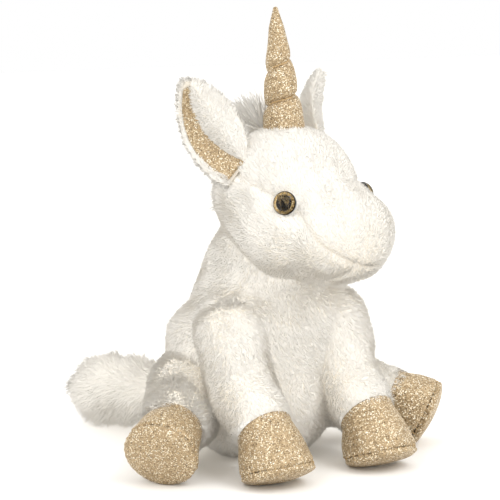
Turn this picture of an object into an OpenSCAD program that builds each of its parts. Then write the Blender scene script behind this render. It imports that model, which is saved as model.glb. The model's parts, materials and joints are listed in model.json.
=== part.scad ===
/* [Torso] */
// Radius of the belly ball at the bottom of the torso
belly_r = 50; // [44:0.5:52]
// Radius of the chest ball at the top of the torso
chest_r = 38; // [34:0.5:39]
// Height of the chest ball's centre above the floor
chest_z = 94; // [90:1:97]
// Depth of the flat seat, from the bottom of the belly ball up to the floor
seat_sink = 8; // [5:1:12]
// Thickness of the plush fabric
skin_t = 3; // [2:0.5:4]

/* [Neck and head] */
// Radius of the neck ball
neck_r = 36; // [33:0.5:36]
// Height of the neck ball's centre above the floor
neck_z = 134; // [133:1:138]
// Angle that the head is turned to the animal's left
head_turn = 12; // [0:1:20]
// Radius of the skull
skull_r = 46; // [42:0.5:46]
// Radius of the muzzle
muzzle_r = 27; // [22:0.5:28]
// Distance of the muzzle's centre in front of the skull's
muzzle_reach = 63; // [55:1:68]
// Distance of the muzzle's centre below the skull's
muzzle_drop = 21; // [12:1:25]
// Half width of the panel that runs over the forehead and the nose
gusset_half_w = 18; // [14:0.5:21]

/* [Eyes] */
// Diameter of the eye
eye_d = 15; // [12:0.5:16]
// Height of the clear dome
eye_dome_h = 5; // [4:0.5:6]
// Diameter of the black pupil
pupil_d = 10.5; // [8:0.5:11.5]

/* [Horn] */
// Length of the horn above the forehead
horn_len = 82; // [60:1:90]
// Diameter of the horn at its base
horn_base_d = 27; // [22:1:27]
// Diameter of the horn near its tip
horn_tip_d = 7; // [6:0.5:9]
// Turns of the thread that pinches the horn
horn_turns = 3; // [2:0.5:4]

/* [Ears] */
// Length of an ear from its root
ear_len = 64; // [54:1:70]
// Width of an ear
ear_w = 38; // [32:1:42]

/* [Legs and hooves] */
// Radius of a front leg
front_leg_r = 21.5; // [19:0.5:21.5]
// Length of the upper part of a front leg, to the middle of its bend
front_upper_len = 33; // [30:1:35]
// Length of the lower part of a front leg, from the middle of its bend
front_lower_len = 41; // [36:1:43]
// Radius of a hind leg at the hip
hip_r = 24; // [22:0.5:24.5]
// Radius of a hind leg at the ankle
hind_ankle_r = 19.5; // [18:0.5:20]
// Radius of a hoof at the ankle
hoof_top_r = 19; // [17:0.5:19.5]
// Radius of a hoof at the edge of its sole
hoof_sole_r = 24; // [22:0.5:24.5]
// Length of a hoof from the ankle to its sole
hoof_len = 24; // [20:1:26]
// Height that the stuffed sole bulges
sole_bulge = 8; // [5:0.5:9]

/* [Tail] */
// Length of the tail between its root and the centre of its round end
tail_len = 78; // [64:1:84]
// Radius of the tail at its round end
tail_r = 18; // [14:0.5:20]

/* [Hidden] */

$fn = 72;
WHITE = "ivory";
FILL = "whitesmoke";
GOLD = "darkgoldenrod";
BIG = 400;         // larger than the whole animal, for cutting blocks
ARC_STEPS = 9;     // steps in each round end of an outline
GAP = 0.4;         // clearance between a ball and the socket that it turns in

// Torso: a pear that leans forward, from the belly ball to the chest ball
belly_y = 14;
chest_y = 4;
belly_z = belly_r - seat_sink;
torso_len = norm([chest_y - belly_y, chest_z - belly_z]);
torso_lean = atan2(belly_y - chest_y, chest_z - belly_z);
front_seam_y = -12;
bag_r = 27;
bag_h = 16;
bag_cloth_t = 1;

// Head: skull and muzzle balls, from the neck ball's centre
skull_at = [0, -15.6, 39];
head_len = norm([muzzle_reach, muzzle_drop]);
head_pitch = 90 + atan2(muzzle_drop, muzzle_reach);
mane_h = 11;
mane_half_w = 10;
mane_start = 62;
mane_sweep = 90;
mane_neck_gap = 1;

// Eyes: height over the skull's centre, and distance along the side of the head
eye_at = [36.8, -33.5, 2.5];
eye_azimuth = 67.6;
eye_rise = 12.4;
eye_plate_t = 1.2;
iris_t = 0.5;
pupil_t = 0.3;
shank_r = 2;
shank_len = 9;
washer_r = 7;
washer_t = 1.5;

// Horn: its pivot on the forehead, and its lean to the back
horn_at = skull_at + [0, 3, skull_r - 2];
horn_lean = 6;
horn_ball_r = horn_base_d / 2 + 0.7;
glitter_cloth_t = 1.2;
thread_r = 0.7;
thread_gap = 0.1;
THREAD_STEPS = 22; // rings in each turn of the thread
THREAD_SIDES = 8;

// Ears: their pivots on the skull, the way they face and how far they lean out
ear_at = skull_at + skull_r * [0.80, 0.31, 0.51];
ear_facing = 45;
ear_lean = 29;
ear_root_r = 10;
ear_root_room = 1.8;
ear_root_sunk = 6;
ear_back_t = 5;
ear_lining_t = 1.5;
ear_cup_r = 60;
ear_rim = 5;

// Front legs: a straight upper part, a bend and a straight lower part, then the hoof
shoulder_x = 40;
shoulder_y = -16;
shoulder_r = front_leg_r + 1.5;
upper_tilt = 16;
lower_tilt = 48;
bend_r = 50;
bend_cut = bend_r * tan((lower_tilt - upper_tilt) / 2);
front_hoof_tilt = 35;
front_sole_tilt = 21;
sole_ball_r = (hoof_sole_r * hoof_sole_r + sole_bulge * sole_bulge) / (2 * sole_bulge);
front_sole_z = sole_ball_r - (sole_ball_r - sole_bulge) * cos(front_sole_tilt);
front_ankle_drop = front_upper_len * cos(upper_tilt) + front_lower_len * cos(lower_tilt);
shoulder_z = front_sole_z + hoof_len * cos(front_hoof_tilt) + front_ankle_drop;
back_swing = 5;

// Hind legs: from the hip ball to the ankle, then the hoof on its own axis
hip_at = [50, 22, 38];
hind_hoof_yaw = 40;
hind_hoof_dip = 25;
hind_sole_z = hoof_sole_r * cos(hind_hoof_dip);
hind_ankle_at = [86, -19, hind_sole_z + hoof_len * sin(hind_hoof_dip)];
hind_leg_run = hind_ankle_at - hip_at;
hind_leg_len = norm(hind_leg_run);
hind_leg_yaw = atan2(-hind_leg_run[1], hind_leg_run[0]);
hind_leg_dip = asin(-hind_leg_run[2] / hind_leg_len);
hip_room_in = -hip_r - GAP;
hip_room_back = 0;

// Tail: its root on the rump, and its direction to the animal's right
tail_at = [-4, 66, 28];
tail_root_r = 11;
tail_yaw = 40;

// Half outline of a round-ended taper on the Z axis, from a ball of radius r1 at 0 to one of r2 at len
function taper_outline(r1, r2, len) =
    let (edge = asin((r1 - r2) / len))
    concat(
        [[0, -r1]],
        [for (i = [1:ARC_STEPS]) let (a = -90 + (90 + edge) * i / ARC_STEPS) [r1 * cos(a), r1 * sin(a)]],
        [for (i = [0:ARC_STEPS - 1]) let (a = edge + (90 - edge) * i / ARC_STEPS)
            [r2 * cos(a), len + r2 * sin(a)]],
        [[0, len + r2]]
    );

module taper(r1, r2, len) {
    rotate_extrude() polygon(taper_outline(r1, r2, len));
}

// Everything above the floor, raised by lift
module above_floor(lift = 0) {
    translate([-BIG / 2, -BIG / 2, lift]) cube(BIG);
}

// The half space on the far side of the plane z = 0
module far_side() {
    translate([-BIG / 2, -BIG / 2, 0]) cube(BIG);
}

// What is made for the animal's left is mirrored for its right
module on_side(side) {
    if (side == "left") children();
    else mirror([1, 0, 0]) children();
}

// ---- Torso ----

module torso_form(inset) {
    intersection() {
        translate([0, belly_y, belly_z]) rotate([torso_lean, 0, 0])
            taper(belly_r - inset, chest_r - inset, torso_len);
        above_floor(inset);
    }
}

// The room that a front leg swings in: everything in front of its back, outside its inner side
module front_leg_pocket() {
    reach = shoulder_r + GAP;
    translate([shoulder_x, shoulder_y, shoulder_z]) {
        sphere(reach);
        rotate([back_swing - upper_tilt, 0, 0])
            translate([-front_leg_r - GAP, -BIG + front_leg_r + GAP, -BIG + reach])
                cube([BIG, BIG, BIG]);
    }
}

// The room that a hind leg lifts in: its socket, and the side of the belly that it would rub
module hind_leg_room() {
    translate(hip_at) sphere(hip_r + GAP);
    at_hip() translate([-BIG / 2, hip_room_in, hip_room_back]) cube(BIG);
}

module torso_sockets() {
    translate([0, 0, neck_z]) sphere(neck_r + GAP);
    for (side = ["left", "right"]) on_side(side) {
        front_leg_pocket();
        hind_leg_room();
    }
    translate(tail_at) sphere(tail_root_r + 2 * GAP);
}

module torso_skin() {
    difference() {
        torso_form(0);
        torso_form(skin_t);
        torso_sockets();
    }
}

module torso_skin_front() {
    color(WHITE) intersection() {
        torso_skin();
        translate([-BIG / 2, front_seam_y - BIG, 0]) cube(BIG);
    }
}

module torso_skin_side(side) {
    color(WHITE) intersection() {
        torso_skin();
        on_side(side) translate([0, front_seam_y, 0]) cube(BIG);
    }
}

module torso_stuffing() {
    color(FILL) difference() {
        torso_form(skin_t);
        torso_sockets();
        pellet_bag_form(0);
    }
}

// A round bag with a soft edge, lying on the fabric of the seat
module pellet_bag_form(inset) {
    half_h = bag_h / 2;
    translate([0, belly_y, skin_t + half_h]) rotate_extrude() intersection() {
        union() {
            translate([bag_r - half_h, 0]) circle(half_h - inset);
            translate([0, -half_h + inset]) square([bag_r - half_h, bag_h - 2 * inset]);
        }
        translate([0, -bag_h]) square([BIG, 2 * bag_h]);
    }
}

module pellet_bag() {
    color("gainsboro") difference() {
        pellet_bag_form(0);
        pellet_bag_form(bag_cloth_t);
    }
}

module pellet_fill() {
    color("lightblue") pellet_bag_form(bag_cloth_t);
}

// ---- Neck and head ----

module in_head() {
    translate([0, 0, neck_z]) rotate([0, 0, head_turn]) children();
}

// Local Z runs from the skull to the muzzle, and local Y is up
module along_head() {
    translate(skull_at) rotate([head_pitch, 0, 0]) children();
}

module neck_form(inset) {
    sphere(neck_r - inset);
}

module neck_skin() {
    color(WHITE) in_head() difference() {
        neck_form(0);
        neck_form(skin_t);
    }
}

module neck_stuffing() {
    color(FILL) in_head() neck_form(skin_t);
}

module head_form(inset) {
    along_head() taper(skull_r - inset, muzzle_r - inset, head_len);
}

module head_sockets() {
    neck_form(-GAP);
    translate(horn_at) sphere(horn_ball_r + GAP);
    for (side = ["left", "right"]) on_side(side) {
        translate(ear_at) sphere(ear_root_r + ear_root_room);
        at_eye() cylinder(r = shank_r, h = 2 * shank_len, center = true);
    }
}

module head_skin() {
    difference() {
        head_form(0);
        head_form(skin_t);
        head_sockets();
        for (side = ["left", "right"]) on_side(side) {
            eye_seat();
            at_eye() translate([0, 0, -skin_t - washer_t]) cylinder(r = washer_r, h = washer_t);
        }
    }
}

// The band over the middle of the head: above its axis, or below it when turned over
module head_middle(above) {
    along_head() translate([-gusset_half_w, above ? 0 : -BIG, -BIG / 2])
        cube([2 * gusset_half_w, BIG, BIG]);
}

module head_gusset() {
    color(WHITE) in_head() intersection() {
        head_skin();
        head_middle(true);
    }
}

module chin_panel() {
    color(WHITE) in_head() intersection() {
        head_skin();
        head_middle(false);
    }
}

module head_side(side) {
    color(WHITE) in_head() intersection() {
        head_skin();
        on_side(side) translate([gusset_half_w, -BIG / 2, -BIG / 2]) cube(BIG);
    }
}

module head_stuffing() {
    color(FILL) in_head() difference() {
        head_form(skin_t);
        head_sockets();
        for (side = ["left", "right"]) on_side(side) at_eye() washer_room();
    }
}

// A strip of long pile over the crown and down the back of the head
module mane() {
    color(WHITE) in_head() difference() {
        translate(skull_at) rotate([0, 90, 0]) rotate([0, 0, mane_start])
            rotate_extrude(angle = mane_sweep) translate([skull_r, -mane_half_w])
                square([mane_h, 2 * mane_half_w]);
        neck_form(-mane_neck_gap);
    }
}

// ---- Eyes ----

// Local Z points out of the eye, and 0 is the surface of the fabric
module at_eye() {
    translate(skull_at + eye_at) rotate([0, 0, eye_azimuth - 90]) rotate([0, 90 - eye_rise, 0])
        children();
}

// A shallow seat in the fabric, so that the flat back of the eye meets it
module eye_seat() {
    at_eye() cylinder(r = eye_d / 2, h = skin_t);
}

module washer_room() {
    translate([0, 0, -shank_len]) cylinder(r = washer_r, h = shank_len);
}

module eye_lens(side) {
    dome_r = (eye_d * eye_d / 4 + eye_dome_h * eye_dome_h) / (2 * eye_dome_h);
    color("lightcyan") in_head() on_side(side) at_eye() difference() {
        translate([0, 0, eye_plate_t]) intersection() {
            translate([0, 0, eye_dome_h - dome_r]) sphere(dome_r);
            far_side();
        }
        translate([0, 0, eye_plate_t]) cylinder(r = eye_d / 2 - iris_t, h = iris_t);
        translate([0, 0, eye_plate_t]) cylinder(d = pupil_d, h = iris_t + pupil_t);
    }
}

module eye_iris(side) {
    color(GOLD) in_head() on_side(side) at_eye() translate([0, 0, eye_plate_t])
        cylinder(r = eye_d / 2 - iris_t, h = iris_t);
}

module eye_pupil(side) {
    color("black") in_head() on_side(side) at_eye() translate([0, 0, eye_plate_t + iris_t])
        cylinder(d = pupil_d, h = pupil_t);
}

module eye_base(side) {
    color("black") in_head() on_side(side) at_eye() {
        cylinder(d = eye_d, h = eye_plate_t);
        translate([0, 0, -shank_len]) cylinder(r = shank_r, h = shank_len);
    }
}

module eye_washer(side) {
    color("white") in_head() on_side(side) at_eye() translate([0, 0, -skin_t - washer_t])
        difference() {
            cylinder(r = washer_r, h = washer_t);
            translate([0, 0, -1]) cylinder(r = shank_r, h = washer_t + 2);
        }
}

// ---- Ears ----

module at_ear() {
    translate(ear_at) rotate([0, 0, ear_facing]) rotate([0, ear_lean, 0]) children();
}

// A pointed leaf in the XZ plane, from its root up, cut from two arcs
module ear_leaf(rim) {
    half_len = (ear_len + ear_root_sunk) / 2;
    half_w = ear_w / 2;
    arc_r = (half_len * half_len + half_w * half_w) / ear_w;
    translate([0, 0, half_len - ear_root_sunk]) rotate([90, 0, 0]) intersection_for (way = [-1, 1])
        translate([way * (arc_r - half_w), 0, -ear_cup_r])
            cylinder(r = arc_r - rim, h = 2 * ear_cup_r);
}

// A slice of a ball's wall, so that the ear is cupped to the front
module ear_cup(depth, thickness) {
    translate([0, -ear_cup_r, ear_len / 2 - ear_root_sunk]) difference() {
        sphere(ear_cup_r - depth + thickness);
        sphere(ear_cup_r - depth);
        translate([-BIG / 2, -BIG, -BIG / 2]) cube(BIG);
    }
}

module ear_back(side) {
    color(WHITE) in_head() on_side(side) at_ear() difference() {
        union() {
            intersection() {
                ear_leaf(0);
                ear_cup(0, ear_back_t);
            }
            sphere(ear_root_r);
        }
        intersection() {
            ear_leaf(ear_rim);
            ear_cup(ear_lining_t, ear_lining_t);
        }
    }
}

module ear_lining(side) {
    color(GOLD) in_head() on_side(side) at_ear() difference() {
        intersection() {
            ear_leaf(ear_rim);
            ear_cup(ear_lining_t, ear_lining_t);
        }
        sphere(ear_root_r);
    }
}

// ---- Horn ----

module at_horn() {
    translate(horn_at) rotate([-horn_lean, 0, 0]) children();
}

function horn_r(z) = horn_base_d / 2 + (horn_tip_d - horn_base_d) / 2 * z / (horn_len - horn_tip_d / 2);

// A cone with a round tip, standing on a ball that is sunk in the forehead
module horn_form(inset) {
    cone_len = horn_len - horn_tip_d / 2;
    sphere(horn_ball_r - inset);
    cylinder(r1 = horn_r(0) - inset, r2 = horn_r(cone_len) - inset, h = cone_len);
    translate([0, 0, cone_len]) sphere(horn_tip_d / 2 - inset);
}

module horn_cover() {
    color(GOLD) in_head() at_horn() difference() {
        horn_form(0);
        horn_form(glitter_cloth_t);
    }
}

module horn_stuffing() {
    color(FILL) in_head() at_horn() horn_form(glitter_cloth_t);
}

// Points of one ring of the thread, which lies on the cone from low on the horn to near its tip
function thread_ring(i, count) =
    let (
        share = i / count,
        turn = 360 * horn_turns * share,
        z = horn_len * (0.16 + 0.72 * share),
        mid_r = horn_r(z) + thread_r + thread_gap
    )
    [for (k = [0:THREAD_SIDES - 1]) let (a = 360 * k / THREAD_SIDES)
        [(mid_r + thread_r * cos(a)) * cos(turn), (mid_r + thread_r * cos(a)) * sin(turn),
            z + thread_r * sin(a)]];

module horn_thread() {
    count = ceil(THREAD_STEPS * horn_turns);
    points = [for (i = [0:count]) each thread_ring(i, count)];
    start = [[for (k = [0:THREAD_SIDES - 1]) k]];
    end = [[for (k = [THREAD_SIDES - 1:-1:0]) count * THREAD_SIDES + k]];
    walls = [for (i = [0:count - 1]) for (k = [0:THREAD_SIDES - 1])
        let (a = i * THREAD_SIDES, next = (k + 1) % THREAD_SIDES)
        [a + k, a + THREAD_SIDES + k, a + THREAD_SIDES + next, a + next]];
    color("peru") in_head() at_horn() polyhedron(points, concat(start, walls, end));
}

// ---- Front legs ----

module at_shoulder() {
    translate([shoulder_x, shoulder_y, shoulder_z]) children();
}

// A bent round tube that hangs from the shoulder ball, bending in the YZ plane
module front_leg_form(inset) {
    r = front_leg_r - inset;
    at_shoulder() {
        sphere(shoulder_r - inset);
        rotate([-upper_tilt, 0, 0]) translate([0, 0, bend_cut - front_upper_len]) {
            cylinder(r = r, h = front_upper_len - bend_cut);
            translate([0, -bend_r, 0]) rotate([-90, 0, 0]) rotate([0, -90, 0])
                rotate_extrude(angle = lower_tilt - upper_tilt) translate([bend_r, 0]) circle(r);
        }
    }
    at_front_ankle() cylinder(r = r, h = front_lower_len - bend_cut);
}

// Local Z points back up the lower leg, and 0 is the ankle
module at_front_ankle() {
    at_shoulder() translate([
            0,
            -front_upper_len * sin(upper_tilt) - front_lower_len * sin(lower_tilt),
            -front_ankle_drop
        ]) rotate([-lower_tilt, 0, 0]) children();
}

// Local Z points down through the sole, and 0 is the middle of the sole's seam
module at_front_sole() {
    at_front_ankle() rotate([lower_tilt, 0, 0])
        translate([0, -hoof_len * sin(front_hoof_tilt), -hoof_len * cos(front_hoof_tilt)])
            rotate([180 - front_sole_tilt, 0, 0]) children();
}

module front_hoof_form(inset) {
    spare = 20;
    slope = (hoof_sole_r - hoof_top_r) / hoof_len;
    difference() {
        at_front_ankle() rotate([lower_tilt - front_hoof_tilt, 0, 0])
            translate([0, 0, -hoof_len - spare])
                cylinder(
                    r1 = hoof_sole_r + slope * spare - inset,
                    r2 = hoof_top_r - slope * spare - inset,
                    h = hoof_len + 2 * spare
                );
        at_front_ankle() far_side();
        at_front_sole() far_side();
    }
}

module sole_form() {
    intersection() {
        translate([0, 0, sole_bulge - sole_ball_r]) sphere(sole_ball_r);
        far_side();
    }
}

module front_leg_skin(side) {
    color(WHITE) on_side(side) difference() {
        front_leg_form(0);
        front_leg_form(skin_t);
    }
}

module front_leg_stuffing(side) {
    color(FILL) on_side(side) {
        front_leg_form(skin_t);
        front_hoof_form(glitter_cloth_t);
    }
}

module front_hoof_upper(side) {
    color(GOLD) on_side(side) difference() {
        front_hoof_form(0);
        front_hoof_form(glitter_cloth_t);
    }
}

module front_hoof_sole(side) {
    color(GOLD) on_side(side) at_front_sole() sole_form();
}

// ---- Hind legs ----

// Local Z runs from the hip to the ankle
module at_hip() {
    translate(hip_at) rotate([0, 0, -hind_leg_yaw]) rotate([0, 90 + hind_leg_dip, 0]) children();
}

// Local Z runs out through the hoof, and 0 is the ankle
module at_hind_ankle() {
    translate(hind_ankle_at) rotate([0, 0, -hind_hoof_yaw]) rotate([0, 90 + hind_hoof_dip, 0])
        children();
}

module hind_leg_form(inset) {
    difference() {
        at_hip() taper(hip_r - inset, hind_ankle_r - inset, hind_leg_len);
        at_hind_ankle() far_side();
    }
}

module hind_hoof_form(inset) {
    at_hind_ankle() cylinder(r1 = hoof_top_r - inset, r2 = hoof_sole_r - inset, h = hoof_len);
}

module hind_leg_skin(side) {
    color(WHITE) on_side(side) difference() {
        hind_leg_form(0);
        hind_leg_form(skin_t);
    }
}

module hind_leg_stuffing(side) {
    color(FILL) on_side(side) {
        hind_leg_form(skin_t);
        hind_hoof_form(glitter_cloth_t);
    }
}

module hind_hoof_upper(side) {
    color(GOLD) on_side(side) difference() {
        hind_hoof_form(0);
        hind_hoof_form(glitter_cloth_t);
    }
}

module hind_hoof_sole(side) {
    color(GOLD) on_side(side) at_hind_ankle() translate([0, 0, hoof_len]) sole_form();
}

// ---- Tail ----

module tail_form(inset) {
    translate(tail_at) rotate([-90, 0, 0]) rotate([0, -tail_yaw, 0])
        taper(tail_root_r - inset, tail_r - inset, tail_len);
}

module tail_skin() {
    color(WHITE) difference() {
        tail_form(0);
        tail_form(skin_t);
    }
}

module tail_stuffing() {
    color(FILL) tail_form(skin_t);
}

torso_skin_front();
torso_skin_side("left");  // torso_skin_left
torso_skin_side("right");  // torso_skin_right
torso_stuffing();
pellet_bag();
pellet_fill();
neck_skin();
neck_stuffing();
head_gusset();
head_side("left");  // head_side_left
head_side("right");  // head_side_right
chin_panel();
head_stuffing();
mane();
eye_lens("left");  // eye_lens_left
eye_iris("left");  // eye_iris_left
eye_pupil("left");  // eye_pupil_left
eye_base("left");  // eye_base_left
eye_washer("left");  // eye_washer_left
eye_lens("right");  // eye_lens_right
eye_iris("right");  // eye_iris_right
eye_pupil("right");  // eye_pupil_right
eye_base("right");  // eye_base_right
eye_washer("right");  // eye_washer_right
ear_back("left");  // ear_back_left
ear_lining("left");  // ear_lining_left
ear_back("right");  // ear_back_right
ear_lining("right");  // ear_lining_right
horn_cover();
horn_stuffing();
horn_thread();
front_leg_skin("left");  // front_leg_left_skin
front_leg_stuffing("left");  // front_leg_left_stuffing
front_hoof_upper("left");  // front_hoof_left_upper
front_hoof_sole("left");  // front_hoof_left_sole
front_leg_skin("right");  // front_leg_right_skin
front_leg_stuffing("right");  // front_leg_right_stuffing
front_hoof_upper("right");  // front_hoof_right_upper
front_hoof_sole("right");  // front_hoof_right_sole
hind_leg_skin("left");  // hind_leg_left_skin
hind_leg_stuffing("left");  // hind_leg_left_stuffing
hind_hoof_upper("left");  // hind_hoof_left_upper
hind_hoof_sole("left");  // hind_hoof_left_sole
hind_leg_skin("right");  // hind_leg_right_skin
hind_leg_stuffing("right");  // hind_leg_right_stuffing
hind_hoof_upper("right");  // hind_hoof_right_upper
hind_hoof_sole("right");  // hind_hoof_right_sole
tail_skin();
tail_stuffing();
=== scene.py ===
import json
import math

import bmesh
import bpy
import numpy as np
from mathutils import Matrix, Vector


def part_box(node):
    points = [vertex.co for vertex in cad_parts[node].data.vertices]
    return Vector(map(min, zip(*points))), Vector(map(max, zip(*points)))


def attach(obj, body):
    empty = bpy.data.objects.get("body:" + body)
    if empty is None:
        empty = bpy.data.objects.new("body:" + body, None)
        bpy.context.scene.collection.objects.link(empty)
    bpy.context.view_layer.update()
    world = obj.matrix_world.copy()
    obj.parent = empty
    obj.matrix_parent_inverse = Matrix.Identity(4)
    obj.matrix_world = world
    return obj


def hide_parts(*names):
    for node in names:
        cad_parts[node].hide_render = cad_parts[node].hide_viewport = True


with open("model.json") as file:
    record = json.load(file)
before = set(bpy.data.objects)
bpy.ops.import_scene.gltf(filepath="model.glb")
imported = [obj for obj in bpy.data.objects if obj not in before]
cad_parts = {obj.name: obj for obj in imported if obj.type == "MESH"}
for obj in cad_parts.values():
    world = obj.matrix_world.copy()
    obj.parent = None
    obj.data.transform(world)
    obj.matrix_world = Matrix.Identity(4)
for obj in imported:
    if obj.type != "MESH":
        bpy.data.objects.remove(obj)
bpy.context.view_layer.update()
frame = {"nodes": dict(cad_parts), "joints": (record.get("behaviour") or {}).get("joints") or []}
MM = 0.001
pivot = {joint["name"]: np.array(joint["pos_m"]) / MM for joint in frame["joints"]}

# ---- Studio ----
# The toy sits on a plain white table under a bright, even tent. One broad soft lamp
# hangs high on the right and a weaker one on the left, and a small one gives the eyes
# their glint.

aim = Vector((0, 0.024, 0.134))
camera_azimuth = math.radians(-33)
camera_rise = math.radians(8.5)
camera_distance = 1.3


def around(azimuth, rise, distance):
    """A place seen from the toy at that azimuth and height, where azimuth 0 is its front."""
    level = distance * math.cos(rise)
    return aim + Vector((
        level * math.sin(azimuth), -level * math.cos(azimuth), distance * math.sin(rise)
    ))


def facing(thing, place):
    thing.location = place
    thing.rotation_euler = (aim - place).to_track_quat("-Z", "Y").to_euler()
    bpy.context.scene.collection.objects.link(thing)


camera = bpy.data.objects.new("camera", bpy.data.cameras.new("camera"))
camera.data.lens = 140.4
camera.data.sensor_width = 36
facing(camera, around(camera_azimuth, camera_rise, camera_distance))
bpy.context.scene.camera = camera

for name, azimuth, rise, softness, strength in [
    ("key_lamp", 25, 50, 32, 1.1), ("left_lamp", -80, 40, 45, 0.3), ("catch_lamp", -62, 38, 9, 0.25),
]:
    lamp = bpy.data.objects.new(name, bpy.data.lights.new(name, "SUN"))
    lamp.data.angle = math.radians(softness)
    lamp.data.energy = strength
    facing(lamp, around(math.radians(azimuth), math.radians(rise), 1.25))


class Wire:
    """One output of a shader node. Arithmetic on it adds Math nodes."""

    def __init__(self, tree, socket=None):
        self.tree, self.socket = tree, socket

    def node(self, kind, settings=None, inputs=None, out=0):
        """Adds a node: first its settings, then the values or wires of its inputs."""
        made = self.tree.nodes.new(kind)
        for key, value in (settings or {}).items():
            if key == "stops":
                ramp = made.color_ramp.elements
                while len(ramp) < len(value):
                    ramp.new(1)
                for stop, (place, colour) in zip(ramp, value):
                    stop.position, stop.color = place, (*colour, 1)
            else:
                setattr(made, key, value)
        for key, value in (inputs or {}).items():
            if isinstance(value, Wire):
                self.tree.links.new(value.socket, made.inputs[key])
            else:
                made.inputs[key].default_value = value
        return Wire(self.tree, made.outputs[out] if len(made.outputs) else None)

    def math(self, operation, first, second):
        return self.node("ShaderNodeMath", {"operation": operation}, {0: first, 1: second})

    def __add__(self, other):
        return self.math("ADD", self, other)

    __radd__ = __add__

    def __sub__(self, other):
        return self.math("SUBTRACT", self, other)

    def __rsub__(self, other):
        return self.math("SUBTRACT", other, self)

    def __mul__(self, other):
        return self.math("MULTIPLY", self, other)

    __rmul__ = __mul__

    def mix(self, start, end):
        """A colour from start, where this wire is 0, to end, where it is 1."""
        return self.node(
            "ShaderNodeMix", {"data_type": "RGBA"},
            {0: self, 6: start if isinstance(start, Wire) else (*start, 1),
             7: end if isinstance(end, Wire) else (*end, 1)}, 2,
        )

    def noise(self, size, detail=2.0):
        """Even noise from 0 to 1, whose patches are about size mm across."""
        place = self.node("ShaderNodeTexCoord", out="Object")
        return self.node(
            "ShaderNodeTexNoise", {"noise_dimensions": "3D"},
            {"Vector": place, "Scale": 1 / (size * MM), "Detail": detail},
        )

    def bump(self, height, depth, strength=0.6):
        """The normal of a surface whose relief is depth mm high."""
        return self.node(
            "ShaderNodeBump", {},
            {"Height": height, "Distance": depth * MM, "Strength": strength},
        )


def finish(name, surface):
    """A material whose Principled shader takes what surface(wire) returns for its inputs."""
    made = bpy.data.materials.new(name)
    made.use_nodes = True
    made.node_tree.nodes.clear()
    wire = Wire(made.node_tree)
    shader = wire.node("ShaderNodeBsdfPrincipled", {}, surface(wire))
    wire.node("ShaderNodeOutputMaterial", {}, {"Surface": shader})
    return made


def mesh_of(name, at, *face_sets, material=None):
    """A new smooth object from corners in mm and arrays of faces with 3 or 4 corners."""
    mesh = bpy.data.meshes.new(name)
    corners = np.concatenate([faces.ravel() for faces in face_sets])
    sizes = np.concatenate([np.full(len(faces), faces.shape[1]) for faces in face_sets])
    mesh.vertices.add(len(at))
    mesh.vertices.foreach_set("co", (np.asarray(at, float) * MM).ravel())
    mesh.loops.add(len(corners))
    mesh.loops.foreach_set("vertex_index", corners.astype(np.int32))
    mesh.polygons.add(len(sizes))
    mesh.polygons.foreach_set("loop_start", (np.cumsum(sizes) - sizes).astype(np.int32))
    mesh.update(calc_edges=True)
    mesh.shade_smooth()
    made = bpy.data.objects.new(name, mesh)
    if material:
        mesh.materials.append(material)
    bpy.context.scene.collection.objects.link(made)
    return made


def table_surface(wire):
    return {
        "Base Color": wire.noise(300).mix((0.90, 0.90, 0.90), (0.93, 0.93, 0.93)),
        "Roughness": 0.85,
    }


table_half = 4000
table = mesh_of(
    "table",
    [(-table_half, -table_half, 0), (table_half, -table_half, 0),
     (table_half, table_half, 0), (-table_half, table_half, 0)],
    np.array([[0, 1, 2, 3]]), material=finish("white_table", table_surface),
)

sky = bpy.data.worlds.new("tent")
bpy.context.scene.world = sky
sky.use_nodes = True
sky.node_tree.nodes.clear()
tent = Wire(sky.node_tree)
seen = tent.node("ShaderNodeLightPath", out="Is Camera Ray")
tent_light = tent.node(
    "ShaderNodeBackground", {}, {"Color": seen.mix((1, 0.972, 0.925), (1, 1, 1)),
     "Strength": 1.2 - 0.2 * seen}
)
tent.node("ShaderNodeOutputWorld", {}, {"Surface": tent_light})
bpy.context.scene.view_settings.view_transform = "Standard"

# ---- Torso ----
# A pear of short-pile plush in three panels: one front panel and two sides that meet
# down the back and under the seat. It is stuffed tight over the pellet bag.

PLUSH_T = 1.4
VOXEL = 2.4
belly = (0, 14, 42, 50)
chest = (0, 4, 94, 38)


def row_of(*balls, apart=4):
    """Balls (x, y, z, radius) that lead from each given one to the next."""
    balls = np.array(balls, float)
    filled = [balls[-1:]]
    for a, b in zip(balls, balls[1:]):
        count = max(1, int(np.linalg.norm((b - a)[:3]) / apart))
        filled.append(a + (b - a) * np.arange(count)[:, None] / count)
    return np.concatenate(filled)


def unit(vectors):
    return vectors / np.maximum(np.linalg.norm(vectors, axis=-1, keepdims=True), 1e-9)


def ease(value, low, high):
    """0 below low, 1 above high, and a smooth step between them."""
    share = np.clip((value - low) / (high - low), 0, 1)
    return share * share * (3 - 2 * share)


def sway(at, size, seed):
    """A smooth random vector at each place, which changes over about size mm."""
    draw = np.random.default_rng(seed)
    total = np.zeros_like(at)
    for _ in range(9):
        wave = unit(draw.normal(size=3)) * 2 * math.pi / (size * draw.uniform(1.2, 2.6))
        total += np.sin(at @ wave + draw.uniform(0, 7))[:, None] * draw.normal(size=3)
    return total / 3


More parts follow.
